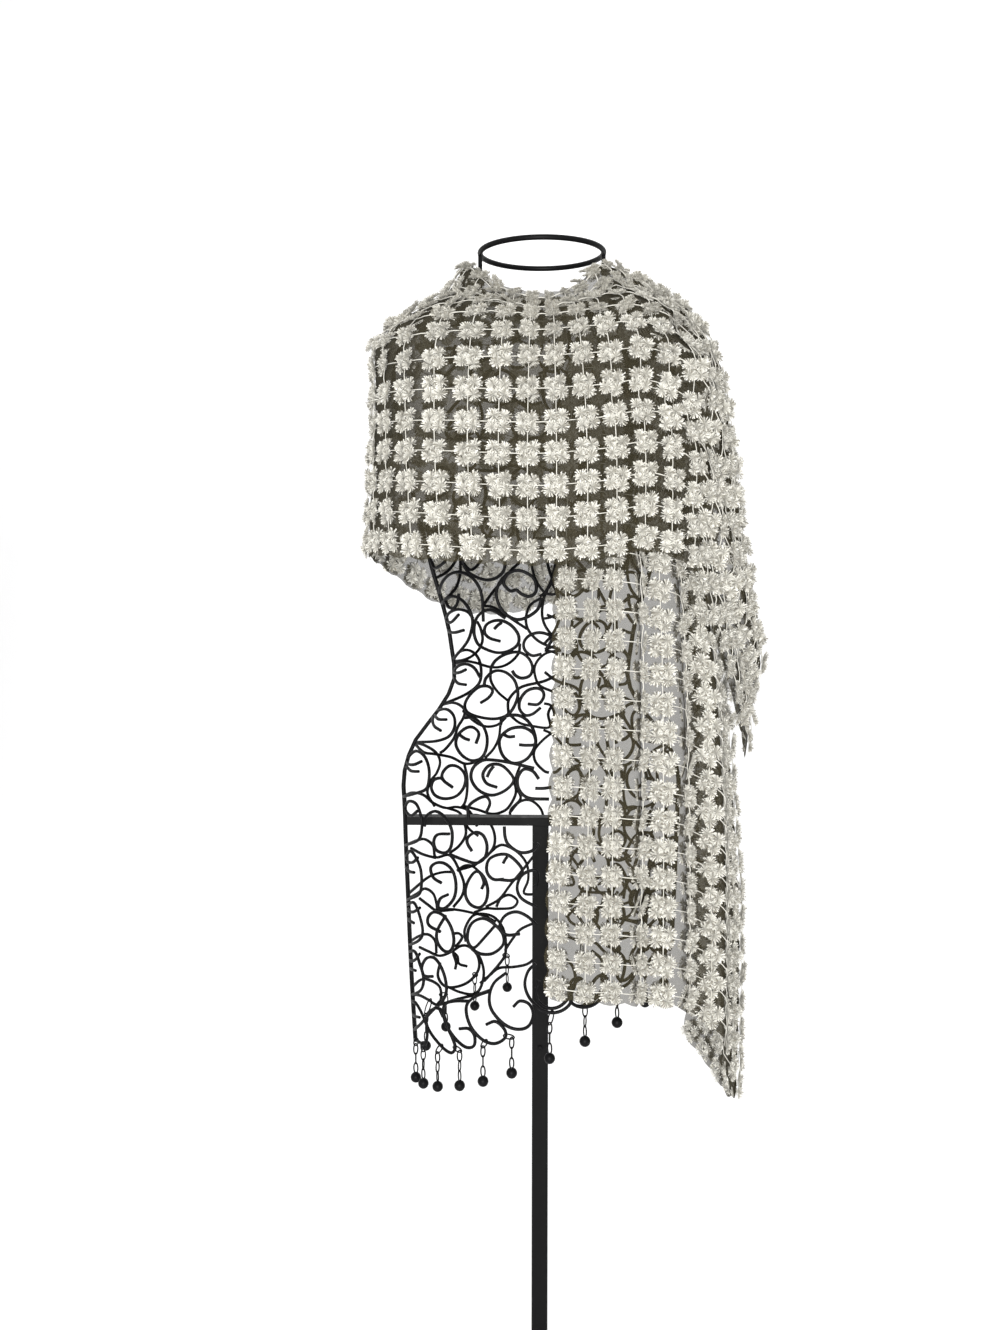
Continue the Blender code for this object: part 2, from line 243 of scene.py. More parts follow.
# Wires of the form's front on the wearer's right, each by points along it: C scrolls with hooked ends
FRONT_WIRES = {
    WAIST: [
        ((215, 90), (240, 148), (266, 143), (300, 115)),
        ((266, 335), (268, 270), (292, 215), (335, 180), (385, 175), (440, 200), (482, 255), (500, 325),
         (505, 440)),
        ((385, 90), (405, 150), (440, 185), (500, 212), (548, 214), (592, 193), (620, 150), (616, 60)),
        ((630, 185), (615, 235), (650, 275), (682, 270), (712, 292), (750, 305), (785, 285), (790, 240),
         (765, 195), (700, 165), (640, 180), (592, 232), (575, 292), (592, 355), (632, 405), (690, 430),
         (750, 412), (800, 372), (820, 312)),
        ((280, 345), (310, 315), (350, 305), (395, 330), (430, 378), (447, 435), (440, 492), (415, 555),
         (345, 640)),
        ((300, 330), (318, 362), (345, 368), (365, 340), (372, 292)),
        ((450, 425), (420, 388), (365, 375), (320, 395), (306, 430), (330, 445), (372, 403)),
        ((302, 460), (322, 493), (350, 500), (400, 487)),
        ((597, 547), (540, 530), (512, 500), (520, 460), (560, 437), (610, 437), (660, 465), (695, 515),
         (690, 565), (640, 600), (580, 608), (520, 590), (475, 560), (455, 500), (465, 430), (500, 390),
         (550, 378), (625, 422)),
        ((565, 480), (582, 462), (604, 446)),
        ((340, 700), (348, 716), (375, 716), (411, 700)),
        ((488, 742), (455, 690), (410, 670), (362, 686), (344, 730), (365, 772), (411, 782)),
        ((545, 690), (572, 650), (622, 618), (690, 605), (742, 630), (770, 682), (758, 730), (715, 746),
         (680, 732), (660, 705)),
        ((820, 615), (768, 624), (728, 592), (725, 550), (755, 515), (810, 500), (870, 520), (925, 585)),
        ((490, 880), (535, 850), (555, 815), (530, 790), (480, 795), (430, 840), (405, 890), (420, 930),
         (480, 955), (560, 966), (622, 952), (662, 915), (690, 850), (688, 800), (668, 750), (620, 712),
         (565, 708), (520, 745), (508, 790)),
        ((745, 885), (800, 887), (830, 850), (825, 815), (790, 800), (740, 815), (705, 860), (700, 910),
         (730, 945), (770, 940), (815, 905)),
        ((150, 1092), (250, 1086), (320, 1060), (350, 1008), (345, 950), (308, 915), (260, 922),
         (232, 960), (238, 1003), (275, 1030)),
        ((240, 945), (262, 968), (306, 970)),
        ((465, 1100), (481, 1045), (450, 1012), (410, 1016), (370, 1052), (357, 1105), (388, 1160),
         (440, 1190), (492, 1178), (520, 1130), (525, 1062), (500, 1000), (450, 960), (402, 960)),
        ((375, 1050), (402, 1070), (430, 1080)),
        ((698, 1105), (740, 1108), (785, 1100), (775, 1045), (720, 1012), (650, 1020), (600, 1062),
         (592, 1110), (615, 1170), (670, 1205), (742, 1180), (786, 1105), (780, 1040), (752, 985),
         (705, 950), (650, 946), (608, 962), (598, 1000)),
        ((608, 1045), (640, 1062), (676, 1060)),
        ((70, 1386), (130, 1370), (195, 1345), (212, 1290), (210, 1225), (185, 1165), (140, 1140),
         (100, 1175), (97, 1208), (130, 1213), (172, 1195)),
        ((92, 1225), (115, 1247), (156, 1250)),
        ((340, 1335), (290, 1297), (284, 1260), (320, 1220), (370, 1225), (407, 1270), (402, 1330),
         (362, 1380), (300, 1396), (248, 1380), (225, 1340), (236, 1298), (270, 1285), (292, 1296)),
        ((580, 1335), (522, 1312), (503, 1262), (540, 1215), (600, 1215), (650, 1258), (668, 1302),
         (622, 1352), (550, 1377), (480, 1350), (440, 1290), (450, 1230), (500, 1190), (560, 1188),
         (640, 1200), (780, 1232)),
        ((525, 1280), (540, 1248), (562, 1220)),
        ((805, 1290), (772, 1248), (722, 1238), (690, 1288), (700, 1350), (750, 1392), (860, 1398)),
        ((785, 1340), (830, 1340), (872, 1334)),
        ((425, 1505), (425, 1440), (470, 1400), (520, 1385), (541, 1420), (520, 1472)),
    ],
    SKIRT: [
        ((145, 55), (110, 80), (82, 45), (98, 5), (138, 18), (163, 80), (168, 142), (150, 205), (78, 236)),
        ((312, 174), (250, 178), (230, 215), (245, 260), (290, 272), (320, 240), (325, 160), (292, 92),
         (240, 56), (192, 82), (182, 135)),
        ((430, 265), (405, 222), (410, 190), (450, 165), (490, 185), (508, 240), (495, 300), (450, 326),
         (388, 310), (312, 280)),
        ((598, 135), (602, 190), (622, 232), (680, 270), (742, 262), (776, 222)),
        ((82, 300), (98, 322), (122, 322), (147, 298)),
        ((82, 345), (102, 370), (128, 376)),
        ((84, 292), (108, 264), (138, 300), (162, 362), (166, 440), (150, 492), (82, 522)),
        ((270, 430), (228, 402), (214, 352), (245, 325), (290, 330), (330, 370), (346, 440), (335, 510),
         (290, 560), (254, 556), (264, 512), (305, 490)),
        ((480, 460), (492, 425), (470, 375), (440, 376), (405, 430), (395, 490), (420, 540), (465, 558),
         (500, 530), (512, 470), (498, 412), (475, 378)),
        ((595, 410), (540, 410), (507, 370), (515, 312), (560, 284), (620, 285), (682, 342), (688, 382),
         (640, 415), (570, 412)),
        ((592, 327), (602, 308), (613, 294)),
        ((750, 452), (765, 438), (772, 400), (765, 366), (720, 370), (680, 402), (665, 460), (690, 512),
         (768, 556)),
        ((84, 535), (98, 572), (122, 582), (158, 560)),
        ((84, 600), (102, 625), (126, 640)),
        ((90, 545), (128, 535), (160, 615), (172, 690), (150, 732), (86, 762)),
        ((265, 685), (206, 652), (200, 612), (230, 582), (280, 600), (320, 660), (335, 730), (320, 780),
         (285, 785), (250, 740), (248, 680), (292, 600)),
        ((545, 657), (500, 708), (440, 768), (407, 732), (412, 670), (440, 630), (490, 615), (540, 640),
         (588, 692), (592, 750), (540, 796), (478, 800), (430, 776)),
        ((680, 695), (610, 700), (574, 660), (600, 602), (660, 580), (720, 605), (764, 648)),
        ((90, 812), (108, 836), (132, 832), (157, 800)),
        ((90, 855), (108, 878), (135, 888)),
        ((90, 792), (130, 788), (156, 850), (177, 930), (160, 992), (96, 1022)),
        ((225, 918), (180, 914), (168, 870), (190, 825), (230, 820), (265, 862), (290, 930), (295, 1000),
         (268, 1062)),
        ((645, 1075), (680, 1045), (728, 1062), (748, 1118), (722, 1178), (660, 1192), (592, 1162),
         (532, 1092), (520, 1020), (545, 950), (605, 900)),
        ((503, 1168), (552, 1152), (598, 1192), (603, 1236), (550, 1267), (488, 1250), (430, 1190),
         (402, 1120), (405, 1060), (452, 1020), (520, 995)),
        ((363, 1190), (412, 1190), (442, 1225), (440, 1278), (400, 1287), (350, 1250), (300, 1180),
         (280, 1110), (290, 1062), (340, 1046), (412, 1046)),
        ((240, 1080), (200, 1110), (192, 1162), (220, 1222), (280, 1292), (322, 1316), (342, 1290),
         (330, 1245), (302, 1182), (275, 1100), (240, 1080)),
        ((112, 1045), (140, 1062), (176, 1130), (196, 1200), (186, 1270), (150, 1258), (106, 1222),
         (160, 1168), (212, 1108), (240, 1080)),
        ((100, 1085), (125, 1122), (156, 1132)),
        ((762, 850), (722, 890), (705, 960), (730, 1030), (790, 1090), (860, 1106), (922, 1080),
         (950, 1030), (930, 960)),
    ],
}

# Wires of the form's back on the same side, read where they show through the front
BACK_WIRES = {
    WAIST: [
        ((250, 205), (310, 170), (355, 110), (370, 50)),
        ((375, 50), (380, 120), (378, 190), (355, 260), (305, 315), (270, 345)),
        ((395, 125), (430, 160), (458, 150), (495, 108)),
        ((510, 345), (560, 275), (612, 218), (658, 160), (725, 100)),
        ((765, 90), (772, 170), (800, 238), (838, 285), (880, 296)),
        ((845, 90), (860, 160), (886, 230), (925, 288), (960, 305)),
        ((880, 225), (850, 270), (830, 322), (822, 400), (838, 462), (880, 520), (925, 560)),
        ((815, 315), (760, 350), (736, 410), (738, 462), (758, 502), (800, 545), (860, 575), (925, 592)),
        ((848, 404), (890, 420), (935, 426)),
        ((505, 355), (560, 365), (620, 402), (680, 442), (742, 482)),
        ((470, 440), (490, 480), (500, 540), (480, 592), (440, 630), (392, 650), (345, 656)),
        ((345, 645), (375, 605), (420, 595), (462, 618), (487, 665), (492, 738), (470, 790), (400, 840),
         (292, 885)),
        ((342, 672), (400, 655), (462, 664), (540, 687), (602, 685), (655, 658), (695, 612), (702, 560)),
        ((925, 598), (850, 610), (800, 650), (780, 702), (795, 768), (822, 796), (880, 820)),
        ((545, 695), (545, 762), (582, 822), (640, 872)),
        ((640, 940), (638, 880), (658, 840), (700, 802), (742, 785), (812, 770), (862, 752), (925, 715)),
        ((282, 890), (332, 880), (372, 890), (402, 920), (396, 962), (366, 1012), (345, 1072), (300, 1130),
         (270, 1152)),
        ((395, 925), (460, 985), (520, 1010), (582, 1000), (625, 962)),
        ((512, 1182), (560, 1130), (588, 1070), (600, 992), (632, 950)),
        ((650, 950), (700, 990), (762, 1006), (862, 1014), (855, 942), (880, 896), (925, 886)),
        ((925, 1030), (870, 1050), (820, 1090), (780, 1142), (786, 1200), (832, 1250), (860, 1260)),
        ((138, 1095), (190, 1112), (248, 1150), (270, 1202), (252, 1260), (222, 1300), (202, 1368),
         (240, 1440)),
        ((132, 1100), (182, 1148), (240, 1158), (330, 1176), (400, 1210), (452, 1205), (505, 1182)),
        ((400, 1210), (416, 1282), (416, 1362), (404, 1422), (382, 1452)),
        ((668, 1300), (680, 1370), (640, 1448), (590, 1478), (540, 1482), (480, 1462), (400, 1440)),
        ((702, 1225), (680, 1290), (690, 1350), (705, 1402), (652, 1462), (658, 1512), (700, 1535)),
        ((68, 1390), (120, 1366), (182, 1380), (232, 1422), (300, 1450), (362, 1445), (430, 1470),
         (470, 1550)),
        ((645, 1480), (700, 1418), (760, 1410), (812, 1452), (832, 1505)),
    ],
    SKIRT: [
        ((460, 190), (412, 152), (395, 112), (440, 80), (500, 100), (540, 160), (546, 232), (510, 292),
         (440, 342), (352, 370)),
        ((310, 280), (362, 240), (396, 180), (385, 110), (360, 66), (300, 44)),
        ((74, 240), (140, 212), (182, 206), (225, 240), (238, 300), (300, 288), (332, 312), (362, 372),
         (386, 440), (376, 502), (330, 562)),
        ((110, 252), (170, 284), (238, 304)),
        ((78, 506), (140, 452), (204, 402), (270, 380), (330, 378)),
        ((350, 372), (390, 346), (432, 350), (482, 392)),
        ((440, 345), (512, 288), (560, 246), (602, 240), (672, 280), (716, 342), (722, 420), (700, 490),
         (770, 496)),
        ((755, 290), (692, 370), (632, 442), (572, 520), (500, 562)),
        ((245, 576), (332, 574), (420, 590), (500, 612), (552, 640)),
        ((555, 562), (580, 516), (626, 500), (666, 530), (640, 566), (560, 572), (500, 570), (440, 590)),
        ((80, 522), (140, 490), (182, 464), (225, 490), (242, 540), (246, 578)),
        ((155, 515), (200, 550), (246, 580), (330, 576)),
        ((330, 700), (360, 700), (376, 722), (350, 760), (330, 765)),
        ((88, 752), (150, 712), (200, 704), (236, 740), (242, 802)),
        ((155, 770), (200, 792), (262, 816), (332, 790)),
        ((395, 742), (390, 680), (430, 610), (490, 598), (552, 622), (596, 690), (604, 800), (570, 862),
         (490, 952)),
        ((755, 645), (682, 680), (640, 730), (600, 790)),
        ((768, 820), (720, 860), (650, 876), (570, 882), (520, 920), (470, 962)),
        ((340, 888), (345, 852), (330, 802), (352, 820), (360, 858), (402, 872)),
        ((330, 790), (370, 765), (412, 770), (458, 820), (462, 890), (412, 952), (340, 980), (282, 972),
         (250, 920), (262, 850)),
        ((430, 772), (472, 832), (490, 910), (470, 990), (430, 1018), (362, 1006), (300, 978)),
        ((96, 1000), (160, 940), (215, 946), (260, 980), (266, 1042), (250, 1072), (275, 1135)),
        ((96, 1018), (150, 1020), (200, 1045), (250, 1072), (340, 1046), (452, 1020), (520, 998)),
    ],
}

# Where the wires read from the photograph end and their mirror image starts, how far the hem rises on the
# wearer's left, and over which heights it does
MIRROR_X = 0.014
MIRROR_GAP = 0.025
LEFT_HEM_SLOPE = 0.86
LOW_WIRES_END, LOW_WIRES_SPAN = 0.87, 0.24
LEFT_LIFT_END, LEFT_LIFT_SPAN = 0.90, 0.20

# The waist's wires come again on the chest, where the shawl hides most of them: how much higher and wider,
# and which wires have room there
CHEST_RISE = 0.284
CHEST_SPREAD = 1.02
CHEST_LOW, CHEST_HIGH = 1.170, 1.480
WAIST_LOW = 0.86

# The loop of wire that carries each chain drop past the traced part of the hem: its size, the angle that it
# starts at and turns through, in degrees, and how it closes into its hook
TRACED_HEM_END = 0.02
HOOK_LOOP_HALF_WIDTH = 0.021
HOOK_LOOP_HEIGHT = 0.036
HOOK_LOOP_START, HOOK_LOOP_TURN = 200, 270
HOOK_LOOP_STEPS, HOOK_LOOP_OPEN_STEPS = 24, 14
HOOK_LOOP_CLOSING = 0.035


def smooth_read(places, values, place):
    """Read a smooth curve through the values at a place between the first and the last."""
    last = len(places) - 1
    i = max(k for k in range(last) if k == 0 or places[k] <= place)

    def slope(k):
        before, after = max(k - 1, 0), min(k + 1, last)
        if 0 < k < last:
            left, right = places[k] - places[k - 1], places[k + 1] - places[k]
            rise_left = (values[k] - values[k - 1]) / left
            rise_right = (values[k + 1] - values[k]) / right
            return (rise_left * right + rise_right * left) / (left + right)
        return (values[after] - values[before]) / (places[after] - places[before])

    span = places[i + 1] - places[i]
    u = (place - places[i]) / span
    return ((2 * u**3 - 3 * u**2 + 1) * values[i] + (u**3 - 2 * u**2 + u) * slope(i) * span
            + (3 * u**2 - 2 * u**3) * values[i + 1] + (u**3 - u**2) * slope(i + 1) * span)


def fold_height(along, across):
    """How far the folds and the pleats push the cloth out at one place."""
    height = 0.0
    for start, end, centre, half_width, crest in FOLDS + PLEATS:
        if start < along < end:
            fade = math.sin(math.pi * (along - start) / (end - start)) ** 0.5
            height += crest * fade * math.exp(-((across - centre) / half_width) ** 2)
    return height


def crease_height(along, across):
    """How far the creases that run across the strip push the cloth out at one place."""
    height = 0.0
    for centre, drift, half_width, crest, faded in CREASES:
        strength = min(1.0, max(0.0, (across - faded) / (1.0 - faded))) ** 0.6
        offset = along - centre - drift * (1 - across)
        height += crest * strength * math.exp(-(offset / half_width) ** 2)
    return height


def cloth_row(along, acrosses):
    """Points of the cloth across the strip at one place along it."""
    places = [station[0] for station in STATIONS]

    def read(pick):
        return smooth_read(places, [pick(station) for station in STATIONS], along)

    hem_angle, neck_angle, bend = (read(lambda station, k=k: station[k]) for k in (1, 2, 3))
    radii = [read(lambda station, k=k: station[4][k]) for k in range(len(KNOTS))]
    heights = [read(lambda station, k=k: station[5][k]) for k in range(len(KNOTS))]
    row = []
    for across in acrosses:
        radius = smooth_read(KNOTS, radii, across) + fold_height(along, across) + crease_height(along, across)
        angle = math.radians(neck_angle + (hem_angle - neck_angle) * (1 - across) ** bend)
        row.append((radius * math.sin(angle), -radius * math.cos(angle), smooth_read(KNOTS, heights, across)))
    return row


class Cloth:
    """The drape, measured once on a fine grid and then read anywhere on the strip."""

    def __init__(self, rows=479, columns=97):
        self.alongs = np.linspace(0, SHAWL_LENGTH, rows)
        self.acrosses = np.linspace(0, 1, columns)
        self.points = np.array([cloth_row(along, self.acrosses) for along in self.alongs])

    def read(self, along, across):
        """Points on the cloth; past an edge they carry on straight."""
        i = np.clip(np.asarray(along) / SHAWL_LENGTH * (len(self.alongs) - 1), -6, len(self.alongs) + 5)
        j = np.clip(np.asarray(across) * (len(self.acrosses) - 1), -6, len(self.acrosses) + 5)
        i0 = np.clip(np.floor(i).astype(int), 0, len(self.alongs) - 2)
        j0 = np.clip(np.floor(j).astype(int), 0, len(self.acrosses) - 2)
        a, b = (i - i0)[..., None], (j - j0)[..., None]
        grid = self.points
        low = grid[i0, j0] * (1 - b) + grid[i0, j0 + 1] * b
        high = grid[i0 + 1, j0] * (1 - b) + grid[i0 + 1, j0 + 1] * b
        return low * (1 - a) + high * a

    def axes(self, along, across):
        """Unit vectors along the strip, across it and out of its face at one place."""
        step_a, step_c = 0.006, 0.012
        along_way = self.read(along + step_a, across) - self.read(along - step_a, across)
        across_way = self.read(along, across + step_c) - self.read(along, across - step_c)
        out = np.cross(across_way, along_way)
        out /= np.linalg.norm(out)
        centre = self.read(along, across)
        rise = SHOULDER_RISE * np.sign(centre[2] - SHOULDER_HEIGHT)
        if out @ np.array([centre[0], centre[1], rise]) < 0:
            out = -out
        across_way /= np.linalg.norm(across_way)
        along_way = np.cross(across_way, out)
        return along_way, across_way, out


cloth = Cloth()


def new_collection(name):
    made = bpy.data.collections.new(name)
    bpy.context.scene.collection.children.link(made)
    return made


looks = new_collection("shawl_and_form_looks")


def finish_piece(piece, slot, *nodes):
    """Put a piece in the collection, on the body and in its node's place; the slot is not used."""
    if piece.name not in looks.objects:
        looks.objects.link(piece)
    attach(piece, "root")
    if nodes:
        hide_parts(*nodes)
    return piece


def mesh_piece(name, points, faces, surface):
    mesh = bpy.data.meshes.new(name)
    mesh.from_pydata(points.tolist() if hasattr(points, "tolist") else points, [],
                     faces.tolist() if hasattr(faces, "tolist") else faces)
    mesh.materials.append(surface)
    return bpy.data.objects.new(name, mesh)


# Materials

def node_group(name, inputs, outputs):
    """A shader node group with its sockets and its two end nodes."""
    group = bpy.data.node_groups.new(name, "ShaderNodeTree")
    for title, kind, value in inputs:
        socket = group.interface.new_socket(title, in_out="INPUT", socket_type=kind)
        socket.default_value = value
    for title, kind in outputs:
        group.interface.new_socket(title, in_out="OUTPUT", socket_type=kind)
    return group, group.nodes.new("NodeGroupInput"), group.nodes.new("NodeGroupOutput")


def mottled_colour_group():
    """Mixes two colours by a soft noise in the object's own space."""
    group, inside, outside = node_group(
        "mottled_colour",
        [("First", "NodeSocketColor", (1, 1, 1, 1)), ("Second", "NodeSocketColor", (0.5, 0.5, 0.5, 1)),
         ("Scale", "NodeSocketFloat", 8.0), ("Amount", "NodeSocketFloat", 0.5)],
        [("Color", "NodeSocketColor"), ("Height", "NodeSocketFloat")])
    place = group.nodes.new("ShaderNodeTexCoord")
    noise = group.nodes.new("ShaderNodeTexNoise")
    noise.inputs["Detail"].default_value = 5.0
    strength = group.nodes.new("ShaderNodeMath")
    strength.operation = "MULTIPLY"
    mix = group.nodes.new("ShaderNodeMix")
    mix.data_type = "RGBA"
    link = group.links.new
    link(place.outputs["Object"], noise.inputs["Vector"])
    link(inside.outputs["Scale"], noise.inputs["Scale"])
    link(noise.outputs["Fac"], strength.inputs[0])
    link(inside.outputs["Amount"], strength.inputs[1])
    link(strength.outputs[0], mix.inputs["Factor"])
    link(inside.outputs["First"], mix.inputs["A"])
    link(inside.outputs["Second"], mix.inputs["B"])
    link(mix.outputs["Result"], outside.inputs["Color"])
    link(noise.outputs["Fac"], outside.inputs["Height"])
    return group


def net_mesh_group():
    """The fine net's threads: how much of it covers what is behind, by the cloth's own coordinates."""
    group, inside, outside = node_group(
        "fine_net_mesh",
        [("Threads per metre", "NodeSocketFloat", 600.0), ("Open part", "NodeSocketFloat", 0.50),
         ("Closed part", "NodeSocketFloat", 0.83)],
        [("Alpha", "NodeSocketFloat"), ("Height", "NodeSocketFloat")])
    place = group.nodes.new("ShaderNodeUVMap")
    place.uv_map = "cloth"
    waves = []
    link = group.links.new
    for direction in ("X", "Y"):
        wave = group.nodes.new("ShaderNodeTexWave")
        wave.wave_type = "BANDS"
        wave.bands_direction = direction
        wave.inputs["Distortion"].default_value = 1.5
        wave.inputs["Detail"].default_value = 1.0
        link(place.outputs["UV"], wave.inputs["Vector"])
        link(inside.outputs["Threads per metre"], wave.inputs["Scale"])
        waves.append(wave)
    crossed = group.nodes.new("ShaderNodeMath")
    crossed.operation = "MAXIMUM"
    link(waves[0].outputs["Fac"], crossed.inputs[0])
    link(waves[1].outputs["Fac"], crossed.inputs[1])
    spread = group.nodes.new("ShaderNodeMapRange")
    spread.inputs["From Min"].default_value = 0.45
    spread.inputs["From Max"].default_value = 0.95
    link(crossed.outputs[0], spread.inputs["Value"])
    link(inside.outputs["Open part"], spread.inputs["To Min"])
    link(inside.outputs["Closed part"], spread.inputs["To Max"])
    link(spread.outputs["Result"], outside.inputs["Alpha"])
    link(crossed.outputs[0], outside.inputs["Height"])
    return group


MOTTLED = mottled_colour_group()
NET_MESH = net_mesh_group()


def new_material(name, roughness, metallic=0.0):
    made = bpy.data.materials.new(name)
    made.use_nodes = True
    shader = made.node_tree.nodes["Principled BSDF"]
    shader.inputs["Roughness"].default_value = roughness
    shader.inputs["Metallic"].default_value = metallic
    return made, made.node_tree, shader


def use_mottled(tree, first, second, scale, amount):
    """Drop a mottled colour into a material."""
    node = tree.nodes.new("ShaderNodeGroup")
    node.node_tree = MOTTLED
    node.inputs["First"].default_value = (*first, 1)
    node.inputs["Second"].default_value = (*second, 1)
    node.inputs["Scale"].default_value = scale
    node.inputs["Amount"].default_value = amount
    return node


def thread_material(name, root_tone_and_painted_shade, tip_colour, cast):
    """Cut thread: darker where it is rooted, pale at its tips, with a soft cast from place to place. On the
    motifs the dark root colour is painted shade, and the paleness of each point also carries painted shade
    between threads and in folds; on the cords the darker colour is only tone that differs at random.
    """
    made, tree, shader = new_material(name, 0.92)
    shader.inputs["Sheen Weight"].default_value = 0.25
    shader.inputs["Sheen Roughness"].default_value = 0.6
    shader.inputs["Specular IOR Level"].default_value = 0.2
    pale_tone_and_painted_shade = tree.nodes.new("ShaderNodeAttribute")
    pale_tone_and_painted_shade.attribute_name = "pale_tone_and_painted_shade"
    roots = use_mottled(tree, root_tone_and_painted_shade, tuple(0.86 * c for c in root_tone_and_painted_shade), 14.0, 0.8)
    tips = use_mottled(tree, tip_colour, cast, 9.0, 0.7)
    mix = tree.nodes.new("ShaderNodeMix")
    mix.data_type = "RGBA"
    tree.links.new(pale_tone_and_painted_shade.outputs["Fac"], mix.inputs["Factor"])
    tree.links.new(roots.outputs["Color"], mix.inputs["A"])
    tree.links.new(tips.outputs["Color"], mix.inputs["B"])
    tree.links.new(mix.outputs["Result"], shader.inputs["Base Color"])
    return made


def net_material():
    """Sheer taupe net, thin enough for the wires to show through it."""
    made, tree, shader = new_material("sheer_taupe_net", 0.9)
    shader.inputs["Sheen Weight"].default_value = 0.03
    shader.inputs["Specular IOR Level"].default_value = 0.05
    colour = use_mottled(tree, (0.036, 0.031, 0.018), (0.078, 0.067, 0.040), 22.0, 0.9)
    net = tree.nodes.new("ShaderNodeGroup")
    net.node_tree = NET_MESH
    edge_on = tree.nodes.new("ShaderNodeLayerWeight")
    edge_on.inputs["Blend"].default_value = 0.5
    denser = tree.nodes.new("ShaderNodeMapRange")
    denser.inputs["From Max"].default_value = 0.75
    denser.inputs["To Min"].default_value = 0.50
    denser.inputs["To Max"].default_value = 0.97
    cover = tree.nodes.new("ShaderNodeMath")
    cover.operation = "MAXIMUM"
    tree.links.new(edge_on.outputs["Facing"], denser.inputs["Value"])
    tree.links.new(denser.outputs["Result"], cover.inputs[0])
    tree.links.new(net.outputs["Alpha"], cover.inputs[1])
    bump = tree.nodes.new("ShaderNodeBump")
    bump.inputs["Distance"].default_value = 0.0004
    bump.inputs["Strength"].default_value = 0.5
    tree.links.new(colour.outputs["Color"], shader.inputs["Base Color"])
    tree.links.new(cover.outputs[0], shader.inputs["Alpha"])
    tree.links.new(net.outputs["Height"], bump.inputs["Height"])
    tree.links.new(bump.outputs["Normal"], shader.inputs["Normal"])
    return made


def iron_material(name, base, worn, roughness):
    """Satin black paint on iron: faintly uneven, rubbed a little paler in places."""
    made, tree, shader = new_material(name, roughness)
    shader.inputs["Specular IOR Level"].default_value = 0.10
    shader.inputs["Coat Weight"].default_value = 0.02
    shader.inputs["Coat Roughness"].default_value = 0.3
    colour = use_mottled(tree, base, worn, 60.0, 0.35)
    rough = tree.nodes.new("ShaderNodeMapRange")
    rough.inputs["To Min"].default_value = roughness - 0.08
    rough.inputs["To Max"].default_value = roughness + 0.14
    bump = tree.nodes.new("ShaderNodeBump")
    bump.inputs["Distance"].default_value = 0.0003
    bump.inputs["Strength"].default_value = 0.35
    tree.links.new(colour.outputs["Color"], shader.inputs["Base Color"])
    tree.links.new(colour.outputs["Height"], rough.inputs["Value"])
    tree.links.new(rough.outputs["Result"], shader.inputs["Roughness"])
    tree.links.new(colour.outputs["Height"], bump.inputs["Height"])
    tree.links.new(bump.outputs["Normal"], shader.inputs["Normal"])
    return made


# The motif threads' dark root colour is painted shade where the threads crowd together at their roots
lobe_thread = thread_material(
    "ivory_lobe_thread", (0.23, 0.21, 0.16), (0.97, 0.955, 0.89), (0.88, 0.86, 0.78))
cord_thread = thread_material(
    "ivory_joining_cord", (0.66, 0.64, 0.56), (0.86, 0.84, 0.77), (0.78, 0.75, 0.67))
taupe_net = net_material()
black_wire = iron_material("satin_black_wire", (0.0035, 0.0035, 0.0038), (0.010, 0.010, 0.011), 0.42)
black_stand = iron_material("satin_black_stand", (0.0035, 0.0035, 0.0035), (0.009, 0.009, 0.009), 0.48)


# Shawl

def motif_template(rng, inner_threads):
    """Four fluffy lobes of cut thread: points, triangles and how pale each point is.

    A thread is one slim triangle from its root to its cut end, turned by chance about its own length. Some
    come out on the net's inner side.
    """
    points, faces, ends = [], [], []

    def tuft(root, count, radius, steepest, flattest):
        first = len(points)
        points.append(root)
        # Each root point is painted in shade: painted shade where the threads crowd together
        ends.append(SHADED_ROOT_PALE)
        for k in range(count):
            rise = flattest + (steepest - flattest) * (k + 0.5) / count
            turn = GOLDEN_ANGLE * k + rng.normal(0, 0.12)
            level = math.sqrt(1 - rise**2)
            way = np.array([level * math.cos(turn), level * math.sin(turn), MOTIF_RISE * rise + 0.03])
            way /= np.linalg.norm(way)
            reach = radius * rng.uniform(0.70, 1.06) * (1.0 - 0.22 * abs(rise))
            side = np.cross(way, rng.normal(0, 1, 3) + [0, 0, 1.5])
            side *= 0.5 * THREAD_WIDTH * rng.uniform(0.7, 1.3) / np.linalg.norm(side)
            faces.append((first, len(points), len(points) + 1))
            points.extend([root + way * reach - side, root + way * reach * rng.uniform(0.90, 1.0) + side])
            # A share of the threads is painted nearly dark: painted shade in the gaps between the threads
            pale = rng.uniform(0.0, 0.2) if rng.random() < SHADED_SHARE else min(1.0, rng.uniform(0.5, 1.2))
            ends.extend([pale, pale])

    for lobe in range(4):
        corner = math.pi / 4 + lobe * math.pi / 2
        centre = LOBE_OFFSET * math.sqrt(2) * np.array([math.cos(corner), math.sin(corner), 0])
        centre += np.array([*rng.normal(0, 0.0004, 2), 0.0012])
        tuft(centre, LOBE_THREADS, LOBE_RADIUS * rng.uniform(0.95, 1.05), 0.99, 0.0)
        tuft(centre - [0, 0, INNER_DEPTH], inner_threads, LOBE_RADIUS * 0.95, -0.05, -0.85)
    tuft(np.array([0, 0, 0.0008]), CENTRE_THREADS, LOBE_RADIUS * 0.66, 0.98, 0.35)
    return np.array(points), np.array(faces), np.array(ends)


